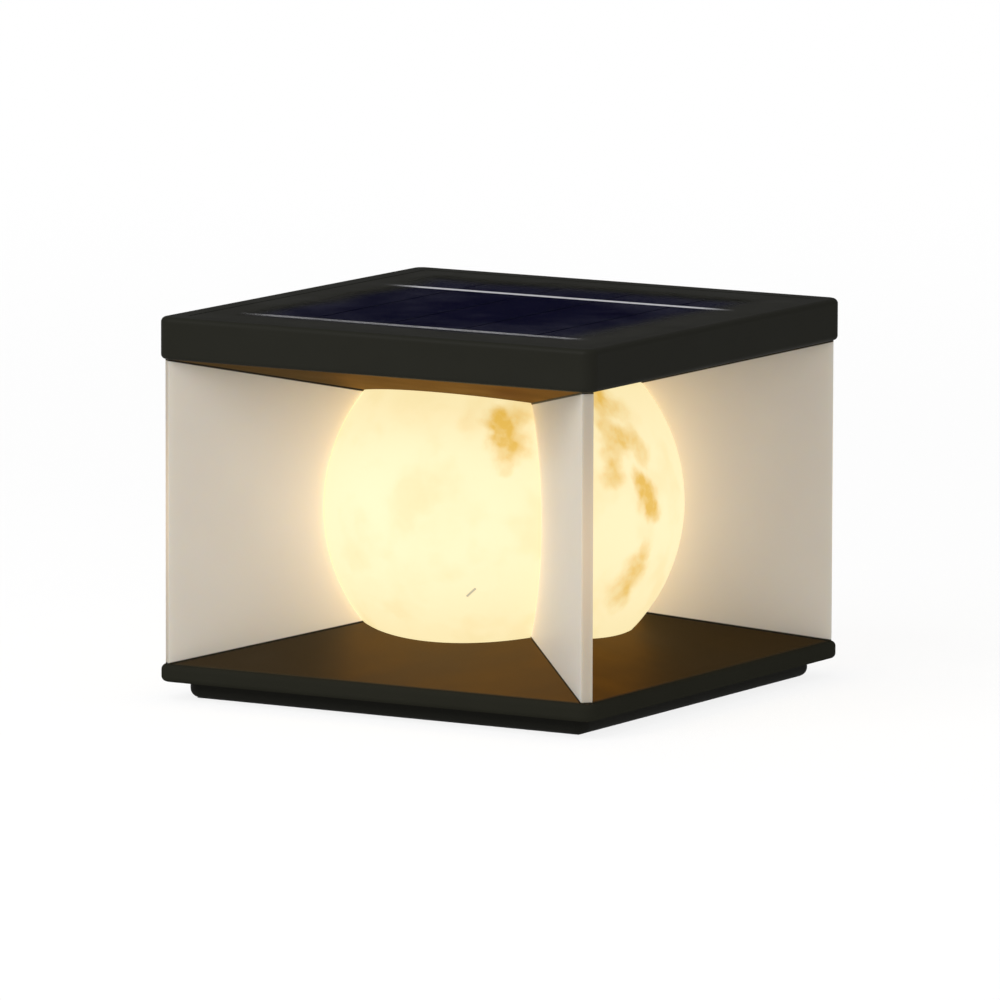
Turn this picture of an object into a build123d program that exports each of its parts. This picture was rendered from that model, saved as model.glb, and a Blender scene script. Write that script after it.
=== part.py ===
from build123d import *
import os
from math import cos, radians, sin, sqrt, tan

# Solar pillar lantern: a moon globe held between a pyramidal floor and an inverted pyramidal
# ceiling, with four opal acrylic fins on the diagonals, a solar cap above and a plinth below.
# Millimetres, +Z up, origin at the centre of the underside. The front faces -Y.

# ---------------------------------------------------------------- driving dimensions
lantern_width = 252.2  # side of the square cap and of the square floor plate
bay_height = 154.2  # clear height between the floor plate's edge and the cap
pyramid_rise = 31.6  # what the floor would rise, and the ceiling drop, at the middle
cap_height = 21.4
plate_edge = 8.85  # visible edge of the floor plate
plinth_height = 8.95
plinth_width = 231.6
globe_radius = 92.5
fin_thickness = 5.9
fin_reach = 172.8  # axis to a fin's outer edge, along the diagonal
fit_gap = 0.2  # between pieces that drop into each other
globe_gap = 0.4  # between the globe and the edges that it passes through

# ---------------------------------------------------------------- levels
half_width = lantern_width / 2
plate_bottom = plinth_height
plate_top = plate_bottom + plate_edge
middle = plate_top + bay_height / 2
cap_bottom = plate_top + bay_height
cap_top = cap_bottom + cap_height
land = 2.7  # margin round the foot of the pyramid, and radius of the plate's rounded edge
pyramid_half = half_width - land
slope = pyramid_rise / pyramid_half

# The globe is cut off flat above and below, and clamped between two webs with soft rings.
globe_wall = 3.0
globe_cut = 68.0
rim_radius = sqrt(globe_radius**2 - globe_cut**2)
seal_height = 2.5
web = 3.0
lower_web_top = middle - globe_cut - seal_height
lower_web_bottom = lower_web_top - web
upper_web_bottom = middle + globe_cut + seal_height
upper_web_top = upper_web_bottom + web

# The solar cap: a skirt, a top web, and a recess for the panel.
corner_radius = 7.0
cap_wall = 3.2
cap_web = 1.6
panel_recess = 3.4
recess_floor = cap_top - panel_recess
cap_ceiling = recess_floor - cap_web


def floor_height(across):
    """Height of the floor pyramid where the larger of |x| and |y| is this."""
    return plate_top + (pyramid_half - across) * slope


# ---------------------------------------------------------------- shapes used more than once
def square_block(half, low, high, corner=0.0):
    """Upright square block about the axis, with rounded corners if a radius is given."""
    with BuildPart() as block:
        with BuildSketch(Plane.XY.offset(low)):
            if corner > 0:
                RectangleRounded(2 * half, 2 * half, corner)
            else:
                Rectangle(2 * half, 2 * half)
        extrude(amount=high - low)
    return block.part


def disc(radius, low, high, bore=0.0, at=(0, 0)):
    """Upright cylinder between two levels, with a bore if one is given."""
    with BuildPart() as body:
        with BuildSketch(Plane.XY.offset(low)):
            with Locations(at):
                Circle(radius)
                if bore > 0:
                    Circle(bore, mode=Mode.SUBTRACT)
        extrude(amount=high - low)
    return body.part


def bend_radii(points):
    """Radius of the arc at each inner corner of a route, as large as its two runs allow."""
    corners = [Vector(*point) for point in points]
    radii = []
    for before, corner, after in zip(corners, corners[1:], corners[2:]):
        run_in = corner - before
        run_out = after - corner
        shorter = min(run_in.length, run_out.length)
        half_turn = radians(run_in.get_angle(run_out)) / 2
        radii.append(0.45 * shorter / tan(half_turn))
    return radii


def lead(points, radius):
    """Round wire along straight runs joined by tangent arcs."""
    with BuildPart() as wire:
        with BuildLine() as route:
            FilletPolyline(*points, radius=bend_radii(points))
        with BuildSketch(Plane(origin=route.line @ 0, z_dir=route.line % 0)):
            Circle(radius)
        sweep(path=route.line)
    return wire.part


def save(builder, name):
    """Label a finished piece and write it to its own file."""
    builder.part.label = name
    export_step(builder.part, f"parts/{name}.step")


os.makedirs("parts", exist_ok=True)

# ---------------------------------------------------------------- sloping pans
# Floor and ceiling are one kind of pan: a skin on the pyramid, ribbed under its hips where the
# fins sit in grooves, open for the globe, with a collar down to the web that clamps it. Both
# are described in the floor's position, and the ceiling is mirrored about the middle.
skin = 3.1  # upright thickness of the sloping skin
throat_half = 40.0  # inside the globe's opening, where the pyramid stops
throat = floor_height(throat_half)
hip_rib_depth = 6.4
hip_rib_width = 14.0
hip_rib_reach = 165.0
collar_radius = 75.6
collar_bore = 72.6
groove_depth = 2.5
groove_width = fin_thickness + fit_gap
groove_start = 60.0  # inside the globe's opening
tie_bore = 5.1
diagonals = (45, 135, 225, 315)


def below_pyramid(low, drop):
    """Everything above a level and under the floor pyramid's surface lowered by drop."""
    with BuildPart() as body:
        with BuildSketch(Plane.XY.offset(plate_top - drop)):
            Rectangle(2 * pyramid_half, 2 * pyramid_half)
        with BuildSketch(Plane.XY.offset(throat - drop)):
            Rectangle(2 * throat_half, 2 * throat_half)
        loft()
        with BuildSketch(Plane.XY.offset(low)):
            Rectangle(2 * pyramid_half, 2 * pyramid_half)
        extrude(amount=plate_top - drop - low)
    return body.part


def diagonal_plane(angle):
    """Upright plane through the axis: its x runs out along the angle and its y is +Z."""
    outwards = (cos(radians(angle)), sin(radians(angle)), 0)
    across = (sin(radians(angle)), -cos(radians(angle)), 0)
    return Plane(origin=(0, 0, 0), x_dir=outwards, z_dir=across)


def hip_height(reach):
    """Height of the floor pyramid's hip at a distance from the axis along the diagonal."""
    return floor_height(reach / sqrt(2))


with BuildPart() as globe_room:
    with Locations((0, 0, middle)):
        Sphere(globe_radius + globe_gap)
    split(bisect_by=Plane.XY.offset(lower_web_top), keep=Keep.TOP)

with BuildPart() as hip_ribs:
    with BuildSketch(Plane.XY.offset(plate_bottom)):
        for angle in (45, 135):
            Rectangle(2 * hip_rib_reach, hip_rib_width, rotation=angle)
    extrude(amount=throat - plate_bottom)
    add(below_pyramid(plate_bottom, hip_rib_depth), mode=Mode.SUBTRACT)
    add(below_pyramid(plate_bottom, 0), mode=Mode.INTERSECT)

with BuildPart() as globe_seat:
    add(disc(collar_radius, lower_web_bottom, throat, bore=collar_bore))
    add(below_pyramid(plate_bottom, 0), mode=Mode.INTERSECT)
    add(disc(collar_radius, lower_web_bottom, lower_web_top, bore=tie_bore))

with BuildPart() as fin_grooves:
    groove_end = fin_reach + fit_gap / 2
    for angle in diagonals:
        with BuildSketch(diagonal_plane(angle)):
            with BuildLine():
                Polyline(
                    (groove_start, hip_height(groove_start) - groove_depth),
                    (groove_end, hip_height(groove_end) - groove_depth),
                    (groove_end, throat),
                    (groove_start, throat),
                    close=True,
                )
            make_face()
        extrude(amount=groove_width / 2, both=True)


def sloping_pan(half, low, cavity_half, corner, rounding):
    """Pan of this half width, as deep as low at its rim, whose hollow is cavity_half wide."""
    foot_half = min(half, pyramid_half)
    foot_corner = corner - (half - foot_half)
    pyramid = below_pyramid(low, 0) & square_block(foot_half, low, throat, foot_corner)
    hollow = below_pyramid(low, skin) & square_block(cavity_half, low, throat)
    with BuildPart() as body:
        add(square_block(half, low, plate_top, corner))
        if rounding > 0:
            fillet(body.edges().group_by(Axis.Z)[-1], rounding)
            fillet(body.edges().group_by(Axis.Z)[0], rounding)
        add(pyramid)
        add(hollow, mode=Mode.SUBTRACT)
        add(hip_ribs.part)
        add(globe_seat.part)
        add(globe_room.part, mode=Mode.SUBTRACT)
        add(fin_grooves.part, mode=Mode.SUBTRACT)
    return body.part


# ---------------------------------------------------------------- plinth
plinth_half = plinth_width / 2
gasket_proud = 0.4
plinth_bottom = gasket_proud
plinth_wall = 10.0
plinth_web = 3.0
plinth_corner = 8.0
plinth_foot_round = 4.5
gasket_half = 111.0
gasket_width = 3.5
gasket_height = 2.5
anchor_spacing = 160.0
anchor_radius = 2.75
anchor_boss_radius = 8.0
upstand_half = 108.8
upstand_wall = 3.3
upstand_length = 170.0
upstand_top = plate_bottom + 6.0
lock_level = plate_bottom + 4.5
lock_offsets = (-60.0, 60.0)
lock_radius = 2.0
lock_gap = 0.05

with BuildPart() as base_plinth:
    with BuildSketch(Plane.XY.offset(plinth_bottom)):
        RectangleRounded(plinth_width, plinth_width, plinth_corner)
    extrude(amount=plate_bottom - plinth_bottom)
    fillet(base_plinth.edges().group_by(Axis.Z)[0], plinth_foot_round)
    # Hollow underside with a boss at each anchor.
    with BuildSketch(Plane.XY.offset(plinth_bottom)):
        Rectangle(2 * (plinth_half - plinth_wall), 2 * (plinth_half - plinth_wall))
        with GridLocations(anchor_spacing, anchor_spacing, 2, 2):
            Circle(anchor_boss_radius, mode=Mode.SUBTRACT)
    extrude(amount=plate_bottom - plinth_web - plinth_bottom, mode=Mode.SUBTRACT)
    with BuildSketch(Plane.XY.offset(plinth_bottom)):
        with GridLocations(anchor_spacing, anchor_spacing, 2, 2):
            Circle(anchor_radius)
    extrude(amount=plate_bottom - plinth_bottom, mode=Mode.SUBTRACT)
    # Groove for the gasket.
    with BuildSketch(Plane.XY.offset(plinth_bottom)):
        Rectangle(2 * gasket_half + fit_gap, 2 * gasket_half + fit_gap)
        inner = gasket_half - gasket_width - fit_gap / 2
        Rectangle(2 * inner, 2 * inner, mode=Mode.SUBTRACT)
    extrude(amount=gasket_height - gasket_proud, mode=Mode.SUBTRACT)
    # Upstands along the middle of each side, which the floor plate drops over.
    with BuildSketch(Plane.XY.offset(plate_bottom)):
        Rectangle(2 * upstand_half, upstand_length)
        Rectangle(upstand_length, 2 * upstand_half)
        inner = upstand_half - upstand_wall
        Rectangle(2 * inner, 2 * inner, mode=Mode.SUBTRACT)
    extrude(amount=upstand_top - plate_bottom)
    # Tapped holes for the lock screws, on the left and back sides.
    with BuildSketch(Plane.YZ.offset(-half_width)):
        with Locations(*[(offset, lock_level) for offset in lock_offsets]):
            Circle(lock_radius + lock_gap)
    extrude(amount=half_width - upstand_half + upstand_wall, mode=Mode.SUBTRACT)
    with BuildSketch(Plane.XZ.offset(-half_width)):
        with Locations(*[(offset, lock_level) for offset in lock_offsets]):
            Circle(lock_radius + lock_gap)
    extrude(amount=half_width - upstand_half + upstand_wall, mode=Mode.SUBTRACT)
save(base_plinth, "base_plinth")

with BuildPart() as base_gasket:
    with BuildSketch(Plane.XY):
        Rectangle(2 * gasket_half, 2 * gasket_half)
        inner = gasket_half - gasket_width
        Rectangle(2 * inner, 2 * inner, mode=Mode.SUBTRACT)
    extrude(amount=gasket_height)
save(base_gasket, "base_gasket")

# ---------------------------------------------------------------- floor plate
plate_cavity_half = 109.0
edge_rounding = land

with BuildPart() as floor_plate:
    add(sloping_pan(half_width, plate_bottom, plate_cavity_half, corner_radius, edge_rounding))
    with BuildSketch(Plane.YZ.offset(-half_width)):
        with Locations(*[(offset, lock_level) for offset in lock_offsets]):
            Circle(lock_radius + lock_gap)
    extrude(amount=half_width - plate_cavity_half, mode=Mode.SUBTRACT)
    with BuildSketch(Plane.XZ.offset(-half_width)):
        with Locations(*[(offset, lock_level) for offset in lock_offsets]):
            Circle(lock_radius + lock_gap)
    extrude(amount=half_width - plate_cavity_half, mode=Mode.SUBTRACT)
save(floor_plate, "floor_plate")

lock_head = half_width - 1.0  # the screws end this far out, just inside the plate's edge
lock_length = lock_head - upstand_half + upstand_wall
socket_radius = 1.2
socket_depth = 2.5

with BuildPart() as lock_screws:
    for plane in (Plane.YZ.offset(-lock_head), Plane.XZ.offset(-lock_head)):
        with BuildSketch(plane):
            with Locations(*[(offset, lock_level) for offset in lock_offsets]):
                Circle(lock_radius)
        extrude(amount=lock_length)
        with BuildSketch(plane):
            with Locations(*[(offset, lock_level) for offset in lock_offsets]):
                RegularPolygon(socket_radius, 6)
        extrude(amount=socket_depth, mode=Mode.SUBTRACT)
save(lock_screws, "lock_screws")

# ---------------------------------------------------------------- globe and its seals
seal_outer = rim_radius + 1.5
seal_inner = rim_radius - 6.0

with BuildPart() as moon_globe:
    with Locations((0, 0, middle)):
        Sphere(globe_radius)
        Sphere(globe_radius - globe_wall, mode=Mode.SUBTRACT)
    split(bisect_by=Plane.XY.offset(middle - globe_cut), keep=Keep.TOP)
    split(bisect_by=Plane.XY.offset(middle + globe_cut), keep=Keep.BOTTOM)
save(moon_globe, "moon_globe")

seal_levels = {"lower_seal": lower_web_top, "upper_seal": upper_web_bottom - seal_height}
for name, level in seal_levels.items():
    with BuildPart() as seal:
        add(disc(seal_outer, level, level + seal_height, bore=seal_inner))
    save(seal, name)

# ---------------------------------------------------------------- light fins
# Each stands on a hip of the floor and under a hip of the ceiling, with its inner edge round
# the globe. Its outer end steps down at the top to pass under the cap's rim.
shoulder_reach = fin_reach - 4.5
shoulder_gap = 0.1
fin_start = 60.0  # inside the globe, where the outline is cut back to the arc
fin_edge_round = 0.6
fin_names = ("fin_back_right", "fin_back_left", "fin_front_left", "fin_front_right")

for name, angle in zip(fin_names, diagonals):
    with BuildPart() as fin:
        with BuildSketch(diagonal_plane(angle)):
            with BuildLine():
                top_start = 2 * middle - hip_height(fin_start) + groove_depth - shoulder_gap
                top_end = 2 * middle - hip_height(shoulder_reach) + groove_depth - shoulder_gap
                Polyline(
                    (fin_start, hip_height(fin_start) - groove_depth),
                    (fin_reach, hip_height(fin_reach) - groove_depth),
                    (fin_reach, cap_bottom - shoulder_gap),
                    (shoulder_reach, cap_bottom - shoulder_gap),
                    (shoulder_reach, top_end),
                    (fin_start, top_start),
                    close=True,
                )
            make_face()
            with Locations((0, middle)):
                Circle(globe_radius + globe_gap, mode=Mode.SUBTRACT)
        extrude(amount=fin_thickness / 2, both=True)
        fillet(fin.edges().filter_by(Axis.Z).sort_by(SortBy.LENGTH)[-2:], fin_edge_round)
    save(fin, name)

# ---------------------------------------------------------------- ceiling plate
ceiling_half = half_width - cap_wall - fit_gap
cap_gasket_height = 3.0
flange_top = cap_ceiling - cap_gasket_height
flange_wall = 3.0
ceiling_corner = corner_radius - cap_wall
# Cap screws stand along the left and back sides only, out of sight from the front.
screw_offset = 72.0  # along a side, from its middle
screw_reach = 112.0  # from the axis
back_screws = [(end * screw_offset, screw_reach) for end in (-1, 1)]
left_screws = [(-screw_reach, end * screw_offset) for end in (-1, 1)]
screw_places = back_screws + left_screws
screw_radius = 1.45
screw_hole_radius = 1.7
screw_head_radius = 2.75
screw_head_height = 2.0
screw_head_top = cap_bottom + 0.2
screw_seat_top = cap_bottom + 2.2
screw_seat_radius = 5.0
screw_pocket_radius = 3.1
button_y = 95.0
button_pad_radius = 11.0
button_pad_bottom = cap_bottom - 10.5
button_pad_top = cap_bottom - 1.5
button_body_radius = 6.0
button_hole_radius = 6.1
lead_hole_y = -14.0
lead_hole_radius = 3.2
board_x = 42.0
board_hole_spacing = (33.0, 53.0)
spacer_radius = 3.0
spacer_height = 4.0
spacer_top = upper_web_top + spacer_height
board_screw_radius = 1.1
mirror_plane = Plane.XY.offset(middle)

with BuildPart() as ceiling_plate:
    # The sloping pan, turned over, with a flange that rises inside the cap's skirt.
    flange_low = 2 * middle - flange_top
    add(sloping_pan(ceiling_half, flange_low, ceiling_half - flange_wall, ceiling_corner, 0))
    mirror(about=mirror_plane, mode=Mode.REPLACE)
    # Seats for the cap screws.
    with BuildSketch(Plane.XY.offset(screw_head_top)):
        with Locations(*screw_places):
            Circle(screw_seat_radius)
    extrude(amount=screw_seat_top - screw_head_top)
    with BuildSketch(Plane.XY.offset(screw_seat_top)):
        with Locations(*screw_places):
            Circle(screw_hole_radius)
    extrude(amount=-(screw_seat_top - screw_head_top), mode=Mode.SUBTRACT)
    with BuildSketch(Plane.XY.offset(screw_head_top)):
        with Locations(*screw_places):
            Circle(screw_pocket_radius)
    extrude(amount=-(screw_head_top - button_pad_bottom), mode=Mode.SUBTRACT)
    # Flat pad for the push button, at the back.
    add(disc(button_pad_radius, button_pad_bottom, button_pad_top, at=(0, button_y)))
    with BuildSketch(Plane.XY.offset(button_pad_bottom)):
        with Locations((0, button_y)):
            Circle(button_hole_radius)
    extrude(amount=button_pad_top - button_pad_bottom, mode=Mode.SUBTRACT)
    # Spacers for the controller board, and the hole for the lamp lead.
    with BuildSketch(Plane.XY.offset(upper_web_top)):
        with Locations((board_x, 0)):
            with GridLocations(*board_hole_spacing, 2, 2):
                Circle(spacer_radius)
    extrude(amount=spacer_height)
    with BuildSketch(Plane.XY.offset(spacer_top)):
        with Locations((board_x, 0)):
            with GridLocations(*board_hole_spacing, 2, 2):
                Circle(board_screw_radius)
    extrude(amount=-spacer_height, mode=Mode.SUBTRACT)
    with BuildSketch(Plane.XY.offset(upper_web_bottom)):
        with Locations((0, lead_hole_y)):
            Circle(lead_hole_radius)
    extrude(amount=web, mode=Mode.SUBTRACT)
save(ceiling_plate, "ceiling_plate")

# ---------------------------------------------------------------- top cap
cap_top_round = 2.8
cap_rim_round = 2.4
panel_half = 114.0
panel_gap = 0.25
boss_radius = 4.0
boss_bore = 1.5
panel_lead_place = (4.5, -38.0)
panel_lead_hole = 1.6

with BuildPart() as top_cap:
    add(square_block(half_width, cap_bottom, cap_top, corner_radius))
    fillet(top_cap.edges().group_by(Axis.Z)[-1], cap_top_round)
    fillet(top_cap.edges().group_by(Axis.Z)[0], cap_rim_round)
    # Inside of the skirt, leaving a boss for each cap screw.
    with BuildSketch(Plane.XY.offset(cap_bottom)):
        inner = half_width - cap_wall
        RectangleRounded(2 * inner, 2 * inner, ceiling_corner)
    extrude(amount=cap_ceiling - cap_bottom, mode=Mode.SUBTRACT)
    with BuildSketch(Plane.XY.offset(screw_seat_top)):
        with Locations(*screw_places):
            Circle(boss_radius)
            Circle(boss_bore, mode=Mode.SUBTRACT)
    extrude(amount=cap_ceiling - screw_seat_top)
    # Recess for the panel, and the hole for its lead.
    with BuildSketch(Plane.XY.offset(recess_floor)):
        panel_hole = 2 * (panel_half + panel_gap)
        Rectangle(panel_hole, panel_hole)
    extrude(amount=panel_recess, mode=Mode.SUBTRACT)
    with BuildSketch(Plane.XY.offset(cap_ceiling)):
        with Locations(panel_lead_place):
            Circle(panel_lead_hole)
    extrude(amount=cap_web, mode=Mode.SUBTRACT)
save(top_cap, "top_cap")

with BuildPart() as cap_gasket:
    with BuildSketch(Plane.XY.offset(flange_top)):
        RectangleRounded(2 * ceiling_half, 2 * ceiling_half, ceiling_corner)
        inner = ceiling_half - flange_wall
        Rectangle(2 * inner, 2 * inner, mode=Mode.SUBTRACT)
    extrude(amount=cap_gasket_height)
save(cap_gasket, "cap_gasket")

cap_screw_end = cap_ceiling - 3.0

with BuildPart() as cap_screws:
    with BuildSketch(Plane.XY.offset(screw_head_top - screw_head_height)):
        with Locations(*screw_places):
            Circle(screw_head_radius)
            RegularPolygon(socket_radius, 6, mode=Mode.SUBTRACT)
    extrude(amount=screw_head_height)
    with BuildSketch(Plane.XY.offset(screw_head_top)):
        with Locations(*screw_places):
            Circle(screw_radius)
    extrude(amount=cap_screw_end - screw_head_top)
save(cap_screws, "cap_screws")

# ---------------------------------------------------------------- solar panel
board_thickness = 1.2
cell_thickness = 0.3
ribbon_thickness = 0.15
cell_pitch = 43.0
cell_gap = 1.2
cell_count = 5
cell_length = 216.0
ribbon_width = 4.6
ribbon_length = 212.0
ribbon_levels = (-79.0, 62.0)  # across the cells, towards the front and the back
seal_width = 4.0
cells_bottom = recess_floor + board_thickness
ribbons_bottom = cells_bottom + cell_thickness
cover_bottom = ribbons_bottom + ribbon_thickness
cover_top = cap_top - 0.15

with BuildPart() as panel_board:
    add(square_block(panel_half, recess_floor, cells_bottom))
save(panel_board, "panel_board")

with BuildPart() as solar_cells:
    with BuildSketch(Plane.XY.offset(cells_bottom)):
        with GridLocations(cell_pitch, 1, cell_count, 1):
            Rectangle(cell_pitch - cell_gap, cell_length)
    extrude(amount=cell_thickness)
save(solar_cells, "solar_cells")

with BuildPart() as cell_ribbons:
    with BuildSketch(Plane.XY.offset(ribbons_bottom)):
        with Locations(*[(0, level) for level in ribbon_levels]):
            Rectangle(ribbon_length, ribbon_width)
    extrude(amount=ribbon_thickness)
save(cell_ribbons, "cell_ribbons")

with BuildPart() as panel_seal:
    with BuildSketch(Plane.XY.offset(cells_bottom)):
        Rectangle(2 * panel_half, 2 * panel_half)
        inner = panel_half - seal_width
        Rectangle(2 * inner, 2 * inner, mode=Mode.SUBTRACT)
    extrude(amount=cover_bottom - cells_bottom)
save(panel_seal, "panel_seal")

with BuildPart() as panel_cover:
    add(square_block(panel_half, cover_bottom, cover_top))
save(panel_cover, "panel_cover")

# ---------------------------------------------------------------- tie tube and lamp post
tube_radius = 4.95
tube_bore = 3.5
tube_overhang = 8.0
washer_radius = 9.5
washer_thickness = 1.5
nut_across_flats = 16.0
nut_height = 5.0
post_width = 18.0
lamp_board_width = 12.0
lamp_board_height = 110.0
lamp_board_thickness = 1.0
chips_per_board = 6
chip_pitch = 18.0
chip_size = 3.5
chip_height = 0.8
plug_size = (6.0, 4.0, 5.0)

with BuildPart() as tie_tube:
    low = lower_web_bottom - tube_overhang
    high = upper_web_top + tube_overhang
    add(disc(tube_radius, low, high, bore=tube_bore))
save(tie_tube, "tie_tube")

with BuildPart() as tie_washers:
    for level in (lower_web_bottom - washer_thickness, upper_web_top):
        add(disc(washer_radius, level, level + washer_thickness, bore=tie_bore))
save(tie_washers, "tie_washers")

with BuildPart() as tie_nuts:
    lower_nut = lower_web_bottom - washer_thickness - nut_height
    for level in (lower_nut, upper_web_top + washer_thickness):
        with BuildSketch(Plane.XY.offset(level)):
            RegularPolygon(nut_across_flats / 2, 6, major_radius=False)
            Circle(tie_bore, mode=Mode.SUBTRACT)
        extrude(amount=nut_height)
save(tie_nuts, "tie_nuts")

with BuildPart() as led_post:
    with BuildSketch(Plane.XY.offset(lower_web_top)):
        Rectangle(post_width, post_width)
        Circle(tie_bore, mode=Mode.SUBTRACT)
    extrude(amount=upper_web_bottom - lower_web_top)
save(led_post, "led_post")

post_sides = [
    Plane(
        origin=(0, 0, middle),
        x_dir=(-sin(radians(angle)), cos(radians(angle)), 0),
        z_dir=(cos(radians(angle)), sin(radians(angle)), 0),
    )
    for angle in (0, 90, 180, 270)
]

with BuildPart() as led_boards:
    for side in post_sides:
        with BuildSketch(side.offset(post_width / 2)):
            Rectangle(lamp_board_width, lamp_board_height)
        extrude(amount=lamp_board_thickness)
save(led_boards, "led_boards")

with BuildPart() as led_chips:
    for side in post_sides:
        with BuildSketch(side.offset(post_width / 2 + lamp_board_thickness)):
            with GridLocations(1, chip_pitch, 1, chips_per_board):
                Rectangle(chip_size, chip_size)
        extrude(amount=chip_height)
save(led_chips, "led_chips")

# ---------------------------------------------------------------- battery
cell_radius = 7.1
cell_body_length = 50.0
battery_pitch = 15.5
battery_count = 3
battery_x = -42.0
holder_floor = 1.5
holder_wall = 2.0
holder_room = 55.0
holder_height = 13.0
contact_thickness = 0.4
contact_size = 9.0
contact_stub_radius = 2.5
battery_level = upper_web_top + holder_floor + cell_radius + 0.3

with BuildPart() as battery_holder:
    holder_width = battery_count * battery_pitch + 2 * holder_wall
    holder_length = holder_room + 2 * holder_wall
    with BuildSketch(Plane.XY.offset(upper_web_top)):
        with Locations((battery_x, 0)):
            RectangleRounded(holder_width, holder_length, 2.0)
    extrude(amount=holder_height)
    with BuildSketch(Plane.XY.offset(upper_web_top + holder_floor)):
        with Locations((battery_x, 0)):
            Rectangle(battery_count * battery_pitch, holder_room)
    extrude(amount=holder_height - holder_floor, mode=Mode.SUBTRACT)
save(battery_holder, "battery_holder")

battery_places = [
    (battery_x + (index - (battery_count - 1) / 2) * battery_pitch, battery_level)
    for index in range(battery_count)
]

with BuildPart() as battery_cells:
    with BuildSketch(Plane.XZ.offset(-cell_body_length / 2)):
        with Locations(*battery_places):
            Circle(cell_radius)
    extrude(amount=cell_body_length)
save(battery_cells, "battery_cells")

with BuildPart() as battery_contacts:
    for end in (-1, 1):
        contact_plane = Plane(
            origin=(0, end * holder_room / 2, 0), x_dir=(1, 0, 0), z_dir=(0, -end, 0)
        )
        turned = [(x, end * z) for x, z in battery_places]
        with BuildSketch(contact_plane):
            with Locations(*turned):
                Rectangle(contact_size, contact_size)
        extrude(amount=contact_thickness)
        with BuildSketch(contact_plane):
            with Locations(*turned):
                Circle(contact_stub_radius)
        extrude(amount=(holder_room - cell_body_length) / 2)
save(battery_contacts, "battery_contacts")

# ---------------------------------------------------------------- controller board
board_size = (40.0, 60.0)
board_pcb = 1.6
board_top = spacer_top + board_pcb
socket_x = 26.0
socket_size = (8.0, 6.0, 6.0)
socket_rows = (-19.5, -6.5, 6.5, 19.5)
coil_place = (46, -6)
coil_size = 12.0
coil_corner = 3.0
coil_height = 5.0
capacitor_places = [(44, 12), (54, 12)]
capacitor_radius = 4.0
capacitor_height = 9.0
controller_chip_place = (42, -20)
controller_chip_size = 7.0
controller_chip_height = 1.2
board_screw_head_radius = 2.2
board_screw_head_height = 1.6
board_screw_gap = 0.05
board_screw_clearance = 0.5  # between a screw's tip and the bottom of its hole

with BuildPart() as controller_board:
    with BuildSketch(Plane.XY.offset(spacer_top)):
        with Locations((board_x, 0)):
            RectangleRounded(*board_size, 2.0)
            with GridLocations(*board_hole_spacing, 2, 2):
                Circle(board_screw_radius + 0.1, mode=Mode.SUBTRACT)
    extrude(amount=board_pcb)
save(controller_board, "controller_board")

with BuildPart() as board_parts:
    with BuildSketch(Plane.XY.offset(board_top)):
        with Locations(*[(socket_x, row) for row in socket_rows]):
            Rectangle(socket_size[0], socket_size[1])
    extrude(amount=socket_size[2])
    with BuildSketch(Plane.XY.offset(board_top)):
        with Locations(coil_place):
            RectangleRounded(coil_size, coil_size, coil_corner)
    extrude(amount=coil_height)
    with BuildSketch(Plane.XY.offset(board_top)):
        with Locations(*capacitor_places):
            Circle(capacitor_radius)
    extrude(amount=capacitor_height)
    with BuildSketch(Plane.XY.offset(board_top)):
        with Locations(controller_chip_place):
            Rectangle(controller_chip_size, controller_chip_size)
    extrude(amount=controller_chip_height)
save(board_parts, "board_parts")

with BuildPart() as board_screws:
    with BuildSketch(Plane.XY.offset(board_top)):
        with Locations((board_x, 0)):
            with GridLocations(*board_hole_spacing, 2, 2):
                Circle(board_screw_head_radius)
    extrude(amount=board_screw_head_height)
    with BuildSketch(Plane.XY.offset(board_top)):
        with Locations((board_x, 0)):
            with GridLocations(*board_hole_spacing, 2, 2):
                Circle(board_screw_radius - board_screw_gap)
    extrude(amount=-(board_pcb + spacer_height - board_screw_clearance))
save(board_screws, "board_screws")

# ---------------------------------------------------------------- push button
# The head moves up against a spring. A shoulder keeps it in the housing.
head_radius = 4.25
head_edge_round = 1.0
head_gap = 0.08
shoulder_radius = 4.95
bezel_radius = 8.0
bezel_height = 1.5
button_seal_height = 0.8
bezel_top = button_pad_bottom - button_seal_height
bezel_bottom = bezel_top - bezel_height
lip_top = bezel_bottom + 3.5
chamber_top = lip_top + 7.8
housing_top = button_pad_top + 6.3
head_bottom = bezel_bottom - 2.5
shoulder_height = 2.0
button_at = (0, button_y)
button_nut_flats = 15.6
button_nut_height = 3.0

with BuildPart() as button_housing:
    add(disc(bezel_radius, bezel_bottom, bezel_top, at=button_at))
    add(disc(button_body_radius, bezel_top, housing_top, at=button_at))
    add(
        disc(head_radius + head_gap, bezel_bottom, lip_top, at=button_at),
        mode=Mode.SUBTRACT,
    )
    add(disc(shoulder_radius + head_gap, lip_top, chamber_top, at=button_at), mode=Mode.SUBTRACT)
save(button_housing, "button_housing")

with BuildPart() as button_seal:
    add(
        disc(
            bezel_radius - 0.3, bezel_top, button_pad_bottom,
            bore=button_body_radius + fit_gap, at=button_at,
        )
    )
save(button_seal, "button_seal")

with BuildPart() as button_nut:
    with BuildSketch(Plane.XY.offset(button_pad_top)):
        with Locations(button_at):
            RegularPolygon(button_nut_flats / 2, 6, major_radius=False)
            Circle(button_hole_radius, mode=Mode.SUBTRACT)
    extrude(amount=button_nut_height)
save(button_nut, "button_nut")

shoulder_bottom = lip_top + 0.05
shoulder_top = shoulder_bottom + shoulder_height

with BuildPart() as button_head:
    add(disc(head_radius, head_bottom, shoulder_bottom, at=button_at))
    fillet(button_head.edges().group_by(Axis.Z)[0], head_edge_round)
    add(disc(shoulder_radius, shoulder_bottom, shoulder_top, at=button_at))
save(button_head, "button_head")

spring_wire = 0.35
spring_radius = 3.2

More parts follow.
